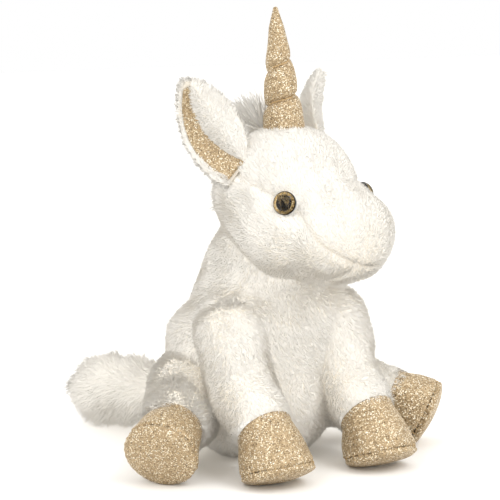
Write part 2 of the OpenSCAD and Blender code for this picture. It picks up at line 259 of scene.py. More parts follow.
class Skin:
    """The cloth round one stuffed body: corners in mm, four-cornered faces, normals."""

    def __init__(self, at, faces, normals=None):
        self.at, self.faces = at, faces
        self.normals = self.slopes() if normals is None else normals

    def slopes(self):
        a, b, c, d = (self.at[self.faces[:, k]] for k in range(4))
        across = np.cross(c - a, d - b)
        total = np.zeros_like(self.at)
        for k in range(4):
            np.add.at(total, self.faces[:, k], across)
        return unit(total)

    def smooth(self, rounds):
        ends = np.concatenate([self.faces, np.roll(self.faces, -1, 1)]).reshape(-1)
        a, b = ends[: self.faces.size], ends[self.faces.size:]
        count = np.bincount(a, minlength=len(self.at)) + np.bincount(b, minlength=len(self.at))
        for _ in range(rounds):
            total = np.zeros_like(self.at)
            np.add.at(total, a, self.at[b])
            np.add.at(total, b, self.at[a])
            self.at = (self.at + total / np.maximum(count, 1)[:, None]) / 2
        self.normals = self.slopes()
        return self

    def press(self, depth):
        """Moves the cloth in by depth mm, one value for each corner."""
        self.at = self.at - self.normals * np.asarray(depth)[:, None]
        self.normals = self.slopes()
        return self

    def past(self, seam):
        """Draws the corners along a seam onto its line, and marks the faces past it."""
        marks = seam(self.at[self.faces].mean(1)) > 0
        sides = np.zeros((len(self.at), 2), bool)
        sides[self.faces[marks], 1] = True
        sides[self.faces[~marks], 0] = True
        shared = np.flatnonzero(sides.all(1))
        spot = self.at[shared]
        for _ in range(3):
            value = seam(spot)
            slope = np.stack(
                [(seam(spot + step) - value) / 0.01 for step in np.eye(3) * 0.01], 1
            )
            size = np.maximum((slope * slope).sum(1), 1e-6)
            spot = spot - slope * np.clip(value / size, -2, 2)[:, None]
        self.at[shared] = spot
        return marks

    def panel(self, marks):
        used, faces = np.unique(self.faces[marks], return_inverse=True)
        return Skin(self.at[used], faces.reshape(-1, 4), self.normals[used])

    def moved(self, matrix, to=(0, 0, 0)):
        return Skin(self.at @ matrix.T + np.array(to), self.faces, self.normals @ matrix.T)

    def mirrored(self):
        flip = np.array([-1, 1, 1])
        return Skin(self.at * flip, self.faces[:, ::-1], self.normals * flip)

    def cloth(self, name, material, thickness=PLUSH_T):
        """A sewn panel of that cloth, with its back and its cut edges."""
        count = len(self.at)
        edges = np.stack([self.faces, np.roll(self.faces, -1, 1)], 2).reshape(-1, 2)
        keys = edges[:, 0] * count + edges[:, 1]
        rim = edges[~np.isin(keys, edges[:, 1] * count + edges[:, 0])]
        sides = [np.stack([rim[:, 1], rim[:, 0], rim[:, 0] + count, rim[:, 1] + count], 1)]
        return mesh_of(
            name, np.concatenate([self.at, self.at - self.normals * thickness]),
            self.faces, self.faces[:, ::-1] + count, *(sides if len(rim) else []),
            material=material,
        )


def remeshed(source, voxel):
    """A closed object's surface as a Skin with even faces of about voxel mm."""
    tool = source.modifiers.new("even", "REMESH")
    tool.mode = "VOXEL"
    tool.voxel_size = voxel * MM
    shown = source.evaluated_get(bpy.context.evaluated_depsgraph_get())
    mesh = shown.to_mesh()
    at = np.zeros(len(mesh.vertices) * 3)
    mesh.vertices.foreach_get("co", at)
    faces = np.zeros(len(mesh.loops), np.int32)
    mesh.loops.foreach_get("vertex_index", faces)
    shown.to_mesh_clear()
    bpy.data.objects.remove(source)
    return Skin(at.reshape(-1, 3) / MM, faces.reshape(-1, 4))


round_stock = bmesh.new()
bmesh.ops.create_icosphere(round_stock, subdivisions=3, radius=1)
stock_at = np.array([corner.co for corner in round_stock.verts])
stock_faces = np.array([[corner.index for corner in face.verts] for face in round_stock.faces])
round_stock.free()


def stretched_over(balls, rounds=10, voxel=VOXEL):
    """The skin that fits tightly round the balls (x, y, z, radius)."""
    at = (balls[:, None, :3] + balls[:, None, 3:] * stock_at).reshape(-1, 3)
    steps = np.arange(len(balls))[:, None, None] * len(stock_at)
    return remeshed(
        mesh_of("lump", at, (stock_faces + steps).reshape(-1, 3)), voxel
    ).smooth(rounds)


def depth_in(at, balls):
    """How deep each place is inside the balls, in mm, or how far outside, below 0."""
    deepest = np.full(len(at), -1e9)
    for ball in balls:
        deepest = np.maximum(deepest, ball[3] - np.linalg.norm(at - ball[:3], axis=1))
    return deepest


def backing_surface(wire):
    knit = wire.noise(0.9, 1)
    return {
        "Base Color": wire.noise(6).mix((0.66, 0.60, 0.50), (0.80, 0.76, 0.68)),
        "Roughness": 0.85 + 0.1 * knit,
        "Normal": wire.bump(knit, 0.3),
        "Sheen Weight": 0.3,
    }


def pile_surface(root, tip, tint):
    """Fibres that go from a darker, warmer root colour, which is painted shade down in the pile, to the
    tip's colour, each a little different.
    """

    def surface(wire):
        along = wire.node("ShaderNodeAttribute", {"attribute_name": "along"}, out="Fac")
        own = wire.node("ShaderNodeAttribute", {"attribute_name": "own_tint"}, out="Fac")
        patch = wire.noise(5)
        # The root's darker, warmer colour is painted shade, since the fibres cast no shadows on each other
        shaded_root_to_tip = along.mix(root, tip)
        return {
            "Base Color": (own * 0.55 + patch * 0.35).mix(shaded_root_to_tip, tint),
            "Roughness": 0.62 + 0.25 * own,
            "Specular IOR Level": 0.0,
        }

    return surface


plush_backing = finish("plush_backing", backing_surface)
# The darker, warmer root colour here is painted shade among the fibres
plush_pile = finish(
    "plush_pile", pile_surface((0.90, 0.85, 0.76), (0.985, 0.978, 0.955), (0.95, 0.925, 0.875))
)


def pile(name, skin, nap, seed, length=4.2, per_mm2=3.0, width=0.70, steps=1, lean=1.05,
         tuft=3.2, gather=0.42, trim=None, droop=0.0, spread=0.24, material=plush_pile):
    """Fibres standing on a panel, leaning along nap(places) and drawn together in tufts.
    trim(places) gives the share of its length that a fibre keeps, and 0 takes it out."""
    draw = np.random.default_rng(seed)
    a, b, c, d = (skin.at[skin.faces[:, k]] for k in range(4))
    areas = np.linalg.norm(np.cross(c - a, d - b), axis=1) / 2
    count = int(areas.sum() * per_mm2)
    pick = skin.faces[draw.choice(len(areas), count, p=areas / areas.sum())]
    u, v = draw.random((2, count, 1))
    shares = [(1 - u) * (1 - v), u * (1 - v), u * v, (1 - u) * v]
    root = sum(share * skin.at[pick[:, k]] for k, share in enumerate(shares))
    up = unit(sum(share * skin.normals[pick[:, k]] for k, share in enumerate(shares)))
    keep = np.ones(count) if trim is None else trim(root)
    left = keep > 0.06
    root, up, keep = root[left], up[left], keep[left, None]
    count = len(root)

    flow = nap(root)
    flow = unit(flow - up * (flow * up).sum(1, keepdims=True))
    flow = flow + 0.32 * sway(root, 14, seed + 1)
    reach = length * keep * draw.uniform(0.7, 1.12, (count, 1))
    reach = reach * (1 + 0.12 * sway(root, 7, seed + 2)[:, :1])
    way = unit(up + flow * lean + draw.normal(size=(count, 3)) * spread)
    cell = np.floor(root / tuft)
    hashed = [
        np.modf(np.abs(np.sin(cell @ key + seed) * 43758.5453))[0]
        for key in ((127.1, 311.7, 74.7), (269.5, 183.3, 246.1), (113.5, 271.9, 124.6))
    ]
    to_tuft = (cell + np.stack(hashed, 1) * 0.7 + 0.15) * tuft - root
    to_tuft -= up * (to_tuft * up).sum(1, keepdims=True)
    to_tuft *= gather * keep * draw.uniform(0.5, 1.0, (count, 1))

    lies = unit(way * reach + to_tuft)
    side = unit(unit(np.cross(lies, up)) + 0.35 * draw.normal(size=(count, 3)))
    side = unit(side - lies * (side * lies).sum(1, keepdims=True))
    rows = []
    for k in range(steps + 1):
        share = k / steps
        spine = root + way * reach * share + to_tuft * share ** 1.4
        spine = spine + np.array([0, 0, -droop]) * reach * share ** 2
        half = side * width * keep ** 0.5 * (1 - share ** 1.5) / 2
        rows += [spine - half, spine + half] if k < steps else [spine]
    # Each fibre is a thin blade with a front and a back
    thick = 0.05 * unit(np.cross(side, lies))[:, None]
    blade = np.stack(rows, 1)
    at = np.concatenate([blade + thick, blade - thick], 1)
    at[:, :, 2] = np.maximum(at[:, :, 2], 0.4)
    half_per = blade.shape[1]
    per = 2 * half_per
    first = np.arange(count)[:, None] * per
    point = np.array([half_per - 3, half_per - 2, half_per - 1])
    faces = [first + point, first + half_per + point[::-1]]
    if steps > 1:
        quads = np.array([[2 * k, 2 * k + 1, 2 * k + 3, 2 * k + 2] for k in range(steps - 1)])
        quads = np.concatenate([quads, half_per + quads[:, ::-1]])
        faces.append((first[:, :, None] + quads).reshape(-1, 4))
    made = mesh_of(name, at.reshape(-1, 3), *faces, material=material)

    across = lies - up * (lies * up).sum(1, keepdims=True)
    slope = unit(up + 0.30 * across + 0.16 * draw.normal(size=(count, 3)))
    made.data.normals_split_custom_set_from_vertices(np.repeat(slope, per, 0))
    share_of = np.tile(np.append(np.repeat(np.arange(steps) / steps, 2), 1.0), 2)
    tints = draw.random(count)
    for title, values in [
        ("along", np.tile(share_of, count)), ("own_tint", np.repeat(tints, per)),
    ]:
        made.data.attributes.new(title, "FLOAT", "POINT").data.foreach_set(
            "value", values.astype(np.float32)
        )
    # One small square of the UV map for each fibre, so that no unwrapping is needed
    wide = math.ceil(math.sqrt(count))
    corner = np.arange(count * per) // per
    sideways = np.append(np.tile([0.08, 0.42], steps), 0.25)
    sideways = np.concatenate([sideways, sideways + 0.5])
    spots = np.stack([
        (corner % wide + np.tile(sideways, count)) / wide,
        (corner // wide + 0.1 + 0.8 * np.tile(share_of, count)) / wide,
    ], 1)
    loops = np.zeros(len(made.data.loops), np.int32)
    made.data.loops.foreach_get("vertex_index", loops)
    made.data.uv_layers.new(name="OFBake").data.foreach_set("uv", spots[loops].ravel())
    # Light sinks deep into white pile, so its fibres don't shade each other; their shade is painted into
    # the darker root colour instead
    made.visible_shadow = made.visible_diffuse = False
    return made


def downward(at):
    return np.tile([0.0, 0.0, -1.0], (len(at), 1))


def wadding_surface(wire):
    wisps = wire.noise(1.5, 6)
    return {
        "Base Color": wire.noise(9).mix((0.86, 0.86, 0.85), (0.95, 0.95, 0.94)),
        "Roughness": 0.9 - 0.1 * wisps,
        "Normal": wire.bump(wisps, 1.2),
        "Sheen Weight": 0.5,
    }


wadding_finish = finish("polyester_wadding", wadding_surface)


def wadding(name, node, body, seed, fitted=None):
    """The filling inside a cover: a lumpy mass just inside the space the cover leaves.
    fitted(places) moves it to where the cover's finer shape holds it."""
    source = bpy.data.objects.new(name + "_lump", frame["nodes"][node].data.copy())
    bpy.context.scene.collection.objects.link(source)
    mass = remeshed(source, 3.0).smooth(3)
    mass.press(0.9 + 0.7 * np.clip(sway(mass.at, 9, seed)[:, 0], -1, 1))
    if fitted:
        mass.at = fitted(mass.at)
    made = mesh_of(name, mass.at, mass.faces, material=wadding_finish)
    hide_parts(node)
    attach(made, body)
    return made


def cover(name, panel, body, nodes, seed, nap, fill=0.8, **how):
    """A plush panel with its pile, as they ride on a body in place of CAD nodes."""
    made = panel.cloth(name, plush_backing)
    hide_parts(*nodes)
    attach(made, body)
    fibres = pile(name + "_pile", panel, nap, seed, **how)
    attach(fibres, body)
    return made


def near_seams(seams, width=3.2, kept=0.5):
    """A trim that shortens the pile towards each seam."""

    def trim(at):
        share = np.ones(len(at))
        for seam in seams:
            share = np.minimum(share, kept + (1 - kept) * ease(np.abs(seam(at)), 0.3, width))
        return share

    return trim


shoulder = pivot["front_leg_left_swing"]
hip = pivot["hind_leg_left_lift"]
front_seam = lambda at: -12 - 0.12 * (at[:, 2] - 90) - at[:, 1]
back_seam = lambda at: at[:, 0]

torso_balls = np.concatenate([
    row_of(belly, (0, 14, 72, 48), (0, 11, 98, 44.5), (0, 6, 124, 37)),
    row_of((-35, -10, 92, 24), (35, -10, 92, 24)), row_of((-34, -12, 74, 20), (34, -12, 74, 20)),
    row_of((-26, 28, 72, 32), (26, 28, 72, 32)),
    row_of((-24, 24, 46, 35), (24, 24, 46, 35)),
])
torso = stretched_over(torso_balls, 12)
torso.at[:, 2] = np.maximum(torso.at[:, 2], 0.5)
torso.smooth(2)
torso.at[:, 2] = np.maximum(torso.at[:, 2], 0.5)
torso.press(
    0.8 * sway(torso.at, 30, 11)[:, 0] * ease(torso.at[:, 2], 6, 30)
    + 1.0 * np.exp(-(front_seam(torso.at) / 2.2) ** 2)
    + 1.0 * np.exp(-(back_seam(torso.at) / 2.2) ** 2) * (torso.at[:, 1] > 0)
)
is_front = torso.past(front_seam)
is_left = torso.past(back_seam)
limbs = np.concatenate([
    row_of((side * shoulder[0], *shoulder[1:], 17), (side * 40, -25, 57, 15)) for side in (1, -1)
] + [
    row_of((side * hip[0], *hip[1:], 18), (side * 62, 8, 36, 14)) for side in (1, -1)
])


def torso_trim(at):
    seams = near_seams([front_seam, lambda spot: np.where(spot[:, 1] > 0, back_seam(spot), 9)])
    buried = depth_in(at, limbs) > 3
    return np.where(buried | (at[:, 2] < 2), 0, seams(at))


for title, marks, seed in [
    ("front", is_front, 20), ("left", ~is_front & is_left, 21), ("right", ~is_front & ~is_left, 22),
]:
    cover(f"torso_{title}_panel", torso.panel(marks), "torso", [f"torso_skin_{title}"], seed,
          downward, trim=torso_trim)
wadding("torso_wadding", "torso_stuffing", "torso", 23)

# ---- Pellet bag ----
# A round bag of thin woven cloth with a gathered edge, three quarters full of plastic
# pellets. It lies loose on the seat and gives the sitting toy its weight.

bag_low, bag_high = (np.array(corner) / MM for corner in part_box("pellet_bag"))
bag_middle = (bag_low + bag_high) / 2
bag_half = (bag_high - bag_low) / 2


def rings(profile, sides, wave):
    """A round form from (radius, height) pairs on the Z axis, as a Skin.
    wave(angle, share) scales the radius, where share goes from 0 to 1 along the profile."""
    angle = np.arange(sides) * 2 * math.pi / sides
    profile = np.array(profile, float)
    share = np.linspace(0, 1, len(profile))[:, None]
    radius = profile[:, :1] * wave(angle[None, :], share)
    height = np.repeat(profile[:, 1:2], sides, 1)
    at = np.stack([radius * np.cos(angle), radius * np.sin(angle), height], 2).reshape(-1, 3)
    low = np.arange(len(profile) - 1)[:, None] * sides
    here, after = np.arange(sides), (np.arange(sides) + 1) % sides
    return Skin(at, np.stack(
        [low + here, low + after, low + after + sides, low + here + sides], 2
    ).reshape(-1, 4))


def capped(name, skin, sides, material):
    """The object of a ring form, with its two open ends closed by fans."""
    count = len(skin.at)
    at = np.concatenate([skin.at, [skin.at[:sides].mean(0)], [skin.at[-sides:].mean(0)]])
    here = np.arange(sides)
    after = (here + 1) % sides
    return mesh_of(
        name, at, skin.faces,
        np.stack([after, here, np.full(sides, count)], 1),
        np.stack([count - sides + here, count - sides + after, np.full(sides, count + 1)], 1),
        material=material,
    )


def bag_surface(wire):
    weave = wire.node(
        "ShaderNodeTexBrick", {"offset": 0.5},
        {"Vector": wire.node("ShaderNodeTexCoord", out="Object"), "Scale": 900,
         "Color1": (1, 1, 1, 1), "Color2": (0.8, 0.8, 0.8, 1), "Mortar": (0.2, 0.2, 0.2, 1)},
        "Fac",
    )
    return {
        "Base Color": wire.noise(8).mix((0.78, 0.78, 0.76), (0.88, 0.88, 0.86)),
        "Roughness": 0.75 + 0.15 * weave,
        "Normal": wire.bump(weave, 0.15),
    }


BAG_SIDES = 72
slump = np.linspace(-0.5 * math.pi, 0.5 * math.pi, 26)
bag = rings(
    [(0.3 + (bag_half[0] - 0.6) * math.cos(turn) ** 0.55, bag_half[2] * math.sin(turn) * 0.97)
     for turn in slump], BAG_SIDES,
    lambda angle, share: 1 + 0.02 * np.sin(12 * angle) * np.sin(math.pi * share) ** 4,
).moved(np.eye(3), bag_middle)
bag.press(0.5 + 0.5 * np.clip(sway(bag.at, 9, 30)[:, 0], -1, 1))
bag_piece = capped("pellet_bag_cloth", bag, BAG_SIDES, finish("bag_cloth", bag_surface))
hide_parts("pellet_bag")
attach(bag_piece, "torso")


def pellet_surface(wire):
    return {
        "Base Color": wire.noise(4).mix((0.62, 0.72, 0.78), (0.80, 0.86, 0.90)),
        "Roughness": 0.3 + 0.15 * wire.noise(1.5),
    }


PELLET_R = 1.7
spots = np.stack(np.meshgrid(*[np.arange(-9, 10) * PELLET_R * 2.05] * 3), -1).reshape(-1, 3)
spots[:, 0] += PELLET_R * (np.round(spots[:, 1] / (PELLET_R * 2.05)) % 2)
room = bag_half - PELLET_R - 1.3
spots = spots[(np.linalg.norm(spots[:, :2], axis=1) / room[0]) ** 2.4
              + np.abs(spots[:, 2] / room[2]) ** 2.4 < 1]
pellet_draw = np.random.default_rng(31)
spots = spots + pellet_draw.uniform(-0.05, 0.05, spots.shape)
grain = bmesh.new()
bmesh.ops.create_icosphere(grain, subdivisions=1, radius=PELLET_R)
grain_at = np.array([corner.co for corner in grain.verts])
grain_faces = np.array([[corner.index for corner in face.verts] for face in grain.faces])
grain.free()
grain_sizes = pellet_draw.uniform(0.85, 1.0, (len(spots), 1, 3))
pellets = mesh_of(
    "pellets", (bag_middle + spots[:, None] + grain_at * grain_sizes).reshape(-1, 3),
    (grain_faces + np.arange(len(spots))[:, None, None] * len(grain_at)).reshape(-1, 3),
    material=finish("plastic_pellets", pellet_surface),
)
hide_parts("pellet_fill")
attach(pellets, "torso")

# ---- Neck ----
# A stuffed ball of the same plush, sewn in between the torso and the head, so that
# the head can turn and nod on it. Only a band of it shows under the jaw.

neck_at = pivot["neck_turn"]
HEAD_TURN = 12


def turned(axis, degrees):
    """The matrix of a turn about the X, Y or Z axis."""
    cos, sin = math.cos(math.radians(degrees)), math.sin(math.radians(degrees))
    return {
        "X": np.array([[1, 0, 0], [0, cos, -sin], [0, sin, cos]]),
        "Y": np.array([[cos, 0, sin], [0, 1, 0], [-sin, 0, cos]]),
        "Z": np.array([[cos, -sin, 0], [sin, cos, 0], [0, 0, 1]]),
    }[axis]


head_way = turned("Z", HEAD_TURN)
neck = stretched_over(np.array([[0, 0, 0, 35.4]]), 4)
neck.press(0.5 * sway(neck.at, 18, 40)[:, 0])
neck = neck.moved(head_way, neck_at)
skull = np.array([0, -15.6, 39])
muzzle = skull + np.array([0, -53, -19.5])
head_row = np.concatenate([[[*skull, 46]], row_of((0, -30, 32, 36.5), (*muzzle, 28.5))])


def in_world(balls):
    return np.column_stack([balls[:, :3] @ head_way.T + neck_at, balls[:, 3]])


hidden_neck = in_world(row_of((*skull, 41), (*muzzle, 21)))
chest_room = row_of((*chest[:3], 33), (0, 4, 100, 30))


def neck_trim(at):
    return np.where((depth_in(at, hidden_neck) > 0) | (depth_in(at, chest_room) > 0), 0, 1)


cover("neck_cover", neck, "neck", ["neck_skin"], 41, downward, trim=neck_trim, length=4.0, per_mm2=2.4)
wadding("neck_wadding", "neck_stuffing", "neck", 42)

# ---- Head ----
# Plush in four panels: one over the forehead, nose and muzzle, a cheek on each side,
# and a narrow one under the chin. The seam runs from each ear through the eye and on
# round the muzzle, where the filling swells on both sides of it.

EYE_AT = skull + np.array([36.8, -33.5, 2.5])
ear_root = skull + 46 * np.array([0.80, 0.31, 0.51])
head_balls = np.concatenate([
    head_row,
    row_of((-11, -63, 20, 26), (11, -63, 20, 26)), row_of((0, -20, 30, 42), (0, -60, 13, 25)),
    row_of((-13, -30, 24, 34), (13, -30, 24, 34)),
])


def face_seam(at):
    """Over 0 above the seam, which falls from the ear through the eye and off the chin."""
    forward = skull[1] - at[:, 1]
    line = 22 - 0.42 * (forward + 14) - 0.0062 * np.maximum(forward - 20, 0) ** 2.05
    crown = 38 - 0.34 * np.maximum(-forward - 12, 0) - np.abs(at[:, 0])
    over = at[:, 2] - skull[2] - line
    return np.where(forward > -14, over, np.minimum(crown, over + 8))


def chin_seam(at):
    return 13 - np.abs(at[:, 0])


head = stretched_over(head_balls, 10)
under = head.at[:, 2] < skull[2] - 12
eye_centres = [EYE_AT, EYE_AT * [-1, 1, 1]]
dimples = [np.array([33, -60, 18]), np.array([-33, -60, 18])]
eye_gap = np.min([np.linalg.norm(head.at - spot, axis=1) for spot in eye_centres], 0)
dimple_gap = np.min([np.linalg.norm(head.at - spot, axis=1) for spot in dimples], 0)
head.press(
    0.6 * sway(head.at, 26, 50)[:, 0]
    + 1.5 * np.exp(-(face_seam(head.at) / 3.0) ** 2)
    + 1.0 * np.exp(-(chin_seam(head.at) / 2.2) ** 2) * under
    + 1.6 * np.exp(-(eye_gap / 9) ** 2)
    + 1.6 * np.exp(-(dimple_gap / 6) ** 2)
)
is_face = head.past(face_seam)
is_chin = head.past(chin_seam) & (head.at[head.faces].mean(1)[:, 2] < skull[2] - 12) & ~is_face
is_left_cheek = head.at[head.faces].mean(1)[:, 0] > 0
head_hidden = np.array([[0, 0, 0, 31.0]])


def head_trim(at):
    seams = near_seams([face_seam], 3.6, 0.42)(at)
    muzzle_short = 1 - 0.28 * ease(skull[1] - 30 - at[:, 1], 0, 25)
    for eye in eye_centres:
        seams = seams * ease(np.linalg.norm(at - eye, axis=1), 7.2, 10.5) ** 0.7
    return np.where(depth_in(at, head_hidden) > 0, 0, seams * muzzle_short)


def off_the_nose(at):
    return np.stack([at[:, 0] * 0.012, 0.5 + 0 * at[:, 0], 1 + 0 * at[:, 0]], 1)


def in_head(rule):
    """A rule for places in the head's own axes, made to take places on the turned head."""
    return lambda at: rule((at - neck_at) @ head_way)


def flow_in_head(rule):
    return lambda at: rule((at - neck_at) @ head_way) @ head_way.T


head = head.moved(head_way, neck_at)
for title, marks, node, seed in [
    ("forehead", is_face, "head_gusset", 51), ("chin", is_chin, "chin_panel", 52),
    ("cheek_left", ~is_face & ~is_chin & is_left_cheek, "head_side_left", 53),
    ("cheek_right", ~is_face & ~is_chin & ~is_left_cheek, "head_side_right", 54),
]:
    cover(f"head_{title}_panel", head.panel(marks), "head", [node], seed, flow_in_head(off_the_nose),
          trim=in_head(head_trim), length=4.0, per_mm2=3.3)


def behind_the_nose(at):
    """The filling ends short of the muzzle's cloth, and a little under its bridge."""
    at = (at - neck_at) @ head_way
    forward = np.maximum(skull[1] - 20 - at[:, 1], 0)
    slim = 1 - 0.08 * ease(forward, 0, 25)[:, None]
    axis = skull + np.stack([0 * forward, -20 - forward, -0.37 * (20 + forward)], 1)
    at = np.where(forward[:, None] > 0, axis + (at - axis) * [1, 0, 1] * slim, at)
    at[:, 1] = np.where(forward > 0, skull[1] - 20 - 0.80 * forward, at[:, 1])
    return at @ head_way.T + neck_at


wadding("head_wadding", "head_stuffing", "head", 55, behind_the_nose)

# ---- Mane ----
# A strip of long pile sewn into the crown seam. It stands up in a tuft behind the horn
# and lies down over the back of the head.


def mane_strip(half_w, first, last, count=34, across=9):
    """A narrow arched strip on the crown, from one angle over the skull to another."""
    angle = np.radians(np.linspace(first, last, count))[:, None]
    sideways = np.linspace(-half_w, half_w, across)[None, :]
    ball = 47.0
    up_share = np.sqrt(np.maximum(ball ** 2 - sideways ** 2, 1))
    at = np.stack([
        sideways + 0 * angle, skull[1] + up_share * np.cos(angle), skull[2] + up_share * np.sin(angle),
    ], 2).reshape(-1, 3)
    row = np.arange(count - 1)[:, None] * across
    here = np.arange(across - 1)
    faces = np.stack([row + here, row + here + 1, row + across + here + 1, row + across + here], 2)
    return Skin(at, faces.reshape(-1, 4))


# The darker, warmer root colour here is painted shade among the long fibres
mane_pile = finish(
    "long_pile", pile_surface((0.88, 0.83, 0.74), (0.98, 0.97, 0.94), (0.95, 0.92, 0.86))
)
strip = mane_strip(8.5, 72, -8)
strip = strip.moved(head_way, neck_at)
strip_piece = strip.cloth("mane_strip", plush_backing, 1.0)
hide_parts("mane")
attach(strip_piece, "head")


def mane_flow(at):
    """Up and to the sides near the horn, and down the back of the head behind it."""
    back = ease(at[:, 1] - skull[1], 22, 44)
    return np.stack([at[:, 0] * 0.16 - 0.25, 0.5 + back, 0.5 - 1.6 * back], 1)


def mane_trim(at):
    return 1 - 0.55 * ease(at[:, 1] - skull[1], 24, 44)


mane = pile("mane_pile", strip, flow_in_head(mane_flow), 61, length=30, per_mm2=5.5, width=0.9,
            steps=3, lean=0.45, tuft=5.0, gather=0.8, spread=0.26, droop=0.06,
            trim=in_head(mane_trim), material=mane_pile)
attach(mane, "head")

# ---- Eyes ----
# Toy safety eyes: a clear moulded dome over a ring of gold glitter film and a black
# pupil, on a black base whose shank a white washer holds behind the fabric.


def glitter(wire, size, dull, mean, bright):
    """Flakes of about size mm: a colour and a random lean for each."""
    flake = wire.node(
        "ShaderNodeTexVoronoi", {"feature": "F1"},
        {"Vector": wire.node("ShaderNodeTexCoord", out="Object"), "Scale": 1 / (size * MM)},
        "Color",
    )
    level = wire.node("ShaderNodeSeparateColor", {}, {"Color": flake}, "Red")
    colour = wire.node(
        "ShaderNodeValToRGB",
        {"stops": [(0, dull), (0.34, mean), (0.78, mean), (0.9, bright), (1, (1, 0.97, 0.86))]},
        {"Fac": level}, "Color",
    )
    lean = wire.node("ShaderNodeVectorMath", {"operation": "SUBTRACT"}, {0: flake, 1: (0.5,) * 3})
    lean = wire.node("ShaderNodeVectorMath", {"operation": "SCALE"}, {0: lean, "Scale": 0.75})
    normal = wire.node(
        "ShaderNodeVectorMath", {"operation": "ADD"},
        {0: lean, 1: wire.node("ShaderNodeNewGeometry", out="Normal")},
    )
    normal = wire.node("ShaderNodeVectorMath", {"operation": "NORMALIZE"}, {0: normal})
    return level, colour, normal


def film_surface(wire):
    level, colour, normal = glitter(
        wire, 0.5, (0.42, 0.26, 0.08), (0.86, 0.62, 0.26), (1.0, 0.86, 0.52)
    )
    return {"Base Color": colour, "Metallic": 0.4, "Roughness": 0.3 + 0.25 * level, "Normal": normal}


def black_surface(wire):
    grain = wire.noise(0.8)
    return {
        "Base Color": grain.mix((0.004, 0.004, 0.005), (0.010, 0.009, 0.010)),
        "Roughness": 0.12 + 0.08 * grain,
    }


def washer_surface(wire):
    return {
        "Base Color": wire.noise(3).mix((0.80, 0.80, 0.78), (0.88, 0.88, 0.86)),
        "Roughness": 0.35 + 0.15 * wire.noise(1.2),
    }


film_finish = finish("gold_glitter_film", film_surface)
black_finish = finish("black_eye_plastic", black_surface)
washer_finish = finish("white_washer_plastic", washer_surface)

clear_finish = bpy.data.materials.new("clear_eye_plastic")
clear_finish.use_nodes = True
clear_finish.node_tree.nodes.clear()
clear = Wire(clear_finish.node_tree)
through = clear.node("ShaderNodeBsdfTransparent", {}, {"Color": (0.97, 0.96, 0.94, 1)})
gloss = clear.node("ShaderNodeBsdfGlossy", {}, {"Roughness": 0.03})
shine = clear.node("ShaderNodeMixShader", {}, {
    0: clear.node("ShaderNodeFresnel", {}, {"IOR": 1.28}), 1: through, 2: gloss,
})
clear.node("ShaderNodeOutputMaterial", {}, {"Surface": shine})


def refinished(node, material):
    """Gives a CAD node its detailed material in place of its plain one."""
    mesh = frame["nodes"][node].data
    mesh.materials.clear()
    mesh.materials.append(material)


for side in ("left", "right"):
    refinished("eye_lens_" + side, clear_finish)
    refinished("eye_iris_" + side, film_finish)
    refinished("eye_pupil_" + side, black_finish)
    refinished("eye_base_" + side, black_finish)
    refinished("eye_washer_" + side, washer_finish)

# ---- Ears ----
# Each ear is a leaf of plush, cupped towards the front, with a smaller leaf of gold
# glitter cloth sewn into it. Its gathered root is sewn down on the crown.

EAR_LEN, EAR_HALF_W, EAR_LOW = 66, 18.5, -5
EAR_CUP_R, EAR_SIDES = 60, 56


def ear_half_width(share):
    leaf = np.sin(math.pi * np.clip(0.07 + 0.93 * share, 0, 1) ** 0.92) ** 0.72
    return np.maximum(EAR_HALF_W * leaf, 0.3)


def lining_sides(share):
    """The lining's inner and outer edge, which leave most of the inner half to the plush."""
    half = ear_half_width(share)
    return np.maximum(half - 6.1 - 13 * (1 - share) ** 0.8, 0.5 - half), half - 2.6


def ear_curve(x, z):
    """Where the ear's cupped middle layer lies, from front to back."""
    middle = EAR_LEN / 2 + EAR_LOW
    low = 1 - ease(z, EAR_LOW, EAR_LOW + 0.55 * EAR_LEN)
    return -EAR_CUP_R + np.sqrt(EAR_CUP_R ** 2 - x ** 2 - (z - middle) ** 2) - 0.008 * low * x ** 2


def ear_foot(x, share):
    """How far the ear's foot is drawn down on its outer side, to meet the sloping head."""
    return -0.45 * np.maximum(x + 4, 0) * (1 - share) ** 3


def ear_plush(rows=44):
    """The folded plush leaf, which swells towards the front along its inner half."""
    share = np.linspace(0, 1, rows)[:, None]
    angle = np.arange(EAR_SIDES)[None, :] * 2 * math.pi / EAR_SIDES
    half = ear_half_width(share)
    x = half * np.cos(angle)
    z = EAR_LOW + share * EAR_LEN + ear_foot(x, share)
    swell = np.clip((x + half) / (lining_sides(share)[0] + half), 0, 1)
    swell = 5.5 * np.sin(math.pi * swell) * np.sin(math.pi * (0.1 + 0.85 * share))
    behind = 2.6 * np.sqrt(half / EAR_HALF_W)
    y = ear_curve(x, z) + 1.8 + np.sin(angle) * np.where(np.sin(angle) < 0, 1.3 + swell, behind)
    low = np.arange(rows - 1)[:, None] * EAR_SIDES
    here, after = np.arange(EAR_SIDES), (np.arange(EAR_SIDES) + 1) % EAR_SIDES
    faces = np.stack([low + here, low + after, low + after + EAR_SIDES, low + here + EAR_SIDES], 2)
    return Skin(np.stack([x, y, z], 2).reshape(-1, 3), faces.reshape(-1, 4))


def ear_lining(rows=40, columns=21):
    share = np.linspace(0.03, 0.93, rows)[:, None]
    inner, outer = lining_sides(share)
    x = inner + (outer - inner) * np.linspace(0, 1, columns)[None, :]
    z = EAR_LOW + share * EAR_LEN + ear_foot(x, share)
    row = np.arange(rows - 1)[:, None] * columns
    here = np.arange(columns - 1)
    faces = np.stack([row + here, row + here + 1, row + columns + here + 1, row + columns + here], 2)
    return Skin(np.stack([x, ear_curve(x, z) - 0.3, z], 2).reshape(-1, 3), faces.reshape(-1, 4))


def gold_surface(wire):
    level, colour, normal = glitter(
        wire, 0.56, (0.13, 0.09, 0.045), (0.43, 0.32, 0.19), (0.84, 0.73, 0.53)
    )
    return {"Base Color": colour, "Metallic": 0.55, "Roughness": 0.34 + 0.3 * level, "Normal": normal}


gold_cloth = finish("gold_glitter_cloth", gold_surface)


def gold_piece(made, body, nodes=()):
    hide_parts(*nodes)
    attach(made, body)
    return made


